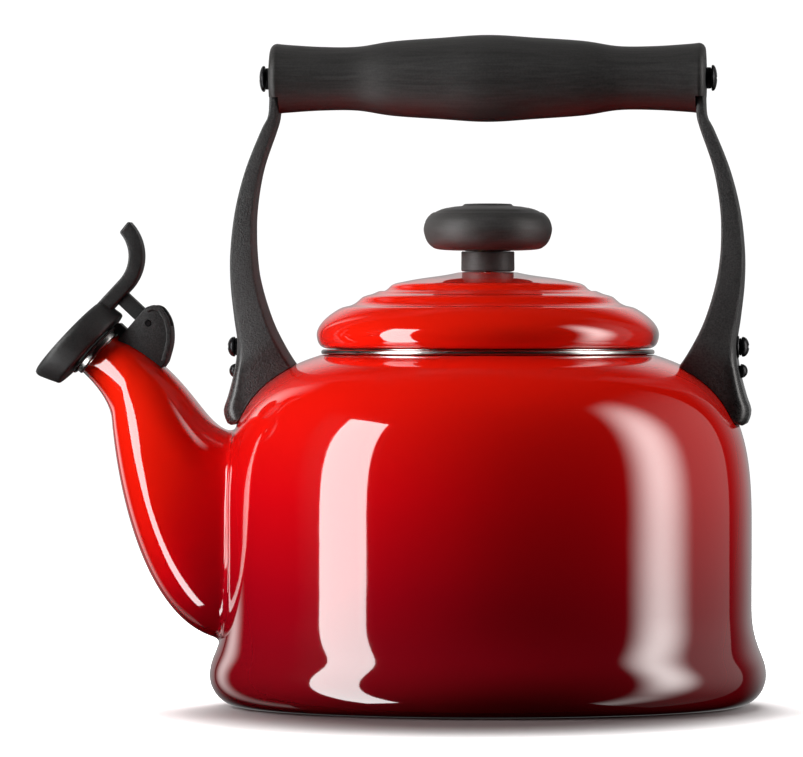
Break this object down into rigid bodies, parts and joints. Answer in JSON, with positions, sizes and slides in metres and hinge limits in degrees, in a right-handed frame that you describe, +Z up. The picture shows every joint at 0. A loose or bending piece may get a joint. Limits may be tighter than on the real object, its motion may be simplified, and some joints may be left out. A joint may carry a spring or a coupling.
{
  "type": "stovetop whistling kettle",
  "caption": "Rounded enamelled stovetop kettle with a flared base, a stepped lift-off lid, a curved spout shut by a sprung whistle flap, and a fixed turned grip on side arms.",
  "frame": {"origin": "centre of the flat base, on the surface the kettle stands on, on the axis of the round body", "axes": "+Z up along the body's axis, -X towards the spout, the handle lies in the XZ plane"},
  "size_m": [0.2525, 0.1918, 0.2314],
  "materials": {
    "red_enamel": "glossy vitreous enamel, orange-red to deep cherry",
    "dark_enamel": "dark ground-coat enamel",
    "bright_steel": "polished stainless steel",
    "black_steel": "black oxide or zinc, semi-gloss",
    "brass": "machined",
    "satin_black": "satin moulded phenolic with faint turned lines",
    "grained_black": "moulded phenolic or nylon with a fine grain"
  },
  "bodies": {
    "kettle": {"body_shell": "red_enamel", "base_plate": "dark_enamel", "spout": "red_enamel", "rim_ring": "bright_steel", "spout_ferrule": "bright_steel", "whistle_bracket": "grained_black", "hinge_pin": "bright_steel", "hinge_spring": "bright_steel", "grip": "satin_black", "arm_front": "grained_black", "grip_washer_front": "black_steel", "grip_screw_front": "black_steel", "grip_insert_front": "brass", "handle_washer_front": "black_steel", "lock_washer_front": "black_steel", "handle_screw_front": "black_steel", "locating_stud_front": "black_steel", "handle_lug_front": "bright_steel", "arm_rear": "grained_black", "grip_washer_rear": "black_steel", "grip_screw_rear": "black_steel", "grip_insert_rear": "brass", "handle_washer_rear": "black_steel", "lock_washer_rear": "black_steel", "handle_screw_rear": "black_steel", "locating_stud_rear": "black_steel", "handle_lug_rear": "bright_steel"},
    "lid": {"lid_shell": "red_enamel", "lid_collar": "bright_steel", "knob": "satin_black", "knob_neck": "satin_black", "knob_insert": "brass", "knob_washer": "bright_steel", "knob_screw": "bright_steel"},
    "whistle": {"whistle_cap": "grained_black", "whistle_plate_inner": "bright_steel", "whistle_spacer": "bright_steel", "whistle_plate_outer": "bright_steel"}
  },
  "joints": [
    {"name": "lid_lift", "type": "slide", "parent": "kettle", "child": "lid", "axis": [0, 0, 1], "range_m": [0, 0.025]},
    {"name": "whistle_flip", "type": "hinge", "parent": "kettle", "child": "whistle", "pos_m": [-0.11703, 0, 0.13206], "axis": [0, 1, 0], "range_deg": [0, 55], "stiffness_Nm_per_rad": 0.02, "springref_deg": -57.3}
  ]
}
